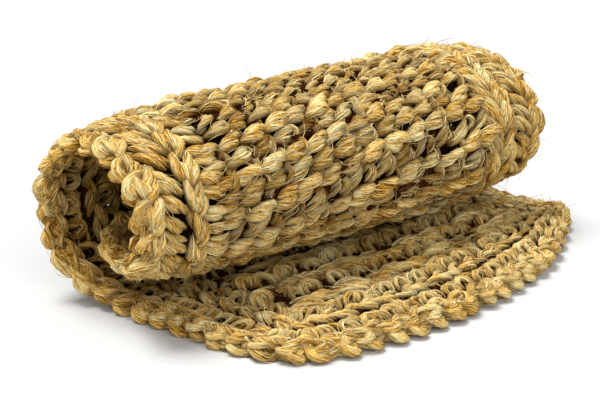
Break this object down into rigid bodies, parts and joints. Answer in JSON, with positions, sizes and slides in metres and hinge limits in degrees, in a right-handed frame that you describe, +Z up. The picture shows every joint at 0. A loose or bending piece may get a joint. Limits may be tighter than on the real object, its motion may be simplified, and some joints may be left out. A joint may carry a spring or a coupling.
{
  "type": "crocheted body scrub cloth",
  "caption": "Thick crocheted plant-fibre scrub cloth with a crocheted border, rolled up loosely with its free flap lying in front.",
  "frame": {"origin": "middle of the bounding box's underside, on the surface the cloth lies on", "axes": "+X along the roll's axis, +Y away from the flap, +Z up"},
  "size_m": [0.252, 0.1494, 0.083],
  "materials": {
    "panel_yarn": "coarse twisted plant fibre yarn, matte",
    "border_yarn": "coarse twisted plant fibre yarn, matte"
  },
  "bodies": {
    "roll": {"panel_roll": "panel_yarn", "inner_round_left": "border_yarn", "inner_round_right": "border_yarn", "inner_round_end": "border_yarn", "outer_round_left": "border_yarn", "outer_round_right": "border_yarn", "outer_round_end": "border_yarn"},
    "flap": {"panel_flap": "panel_yarn", "inner_round_flap": "border_yarn", "outer_round_flap": "border_yarn"}
  },
  "joints": [
    {"name": "flap_lift", "type": "hinge", "parent": "roll", "child": "flap", "pos_m": [0, 0.0032, 0.0085], "axis": [-1, 0, 0], "range_deg": [0, 34]}
  ]
}
